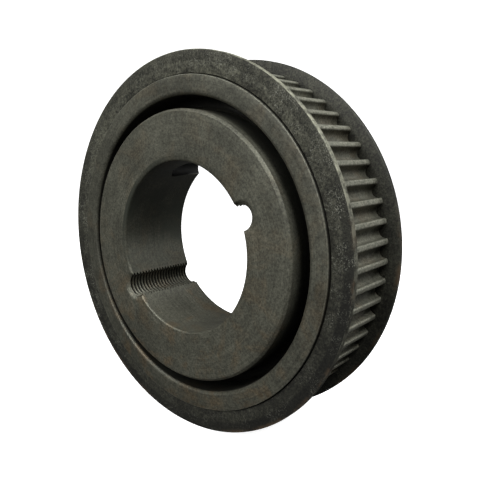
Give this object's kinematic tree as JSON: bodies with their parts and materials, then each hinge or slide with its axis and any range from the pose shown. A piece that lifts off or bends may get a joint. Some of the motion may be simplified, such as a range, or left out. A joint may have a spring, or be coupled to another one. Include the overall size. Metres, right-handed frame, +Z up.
{
  "type": "timing belt pulley",
  "caption": "Flanged timing pulley with round-bottomed teeth, two pressed side flanges and a tapered bore for a taper bush.",
  "frame": {"origin": "on the pulley's axis, at the middle of the teeth and midway between the two flanges", "axes": "Y along the axis, -Y out of the front face where the tapered bore is small, +Y out of the back where the bush goes in; +Z up, the pulley standing on edge"},
  "size_m": [0.1608, 0.0415, 0.1608],
  "materials": {
    "blackened_iron": "fine-turned and chemically blackened, satin",
    "blackened_plate": "pressed steel plate, chemically blackened, dull and scuffed"
  },
  "bodies": {
    "root": {"pulley_body": "blackened_iron", "front_flange": "blackened_plate", "rear_flange": "blackened_plate"}
  },
  "joints": []
}
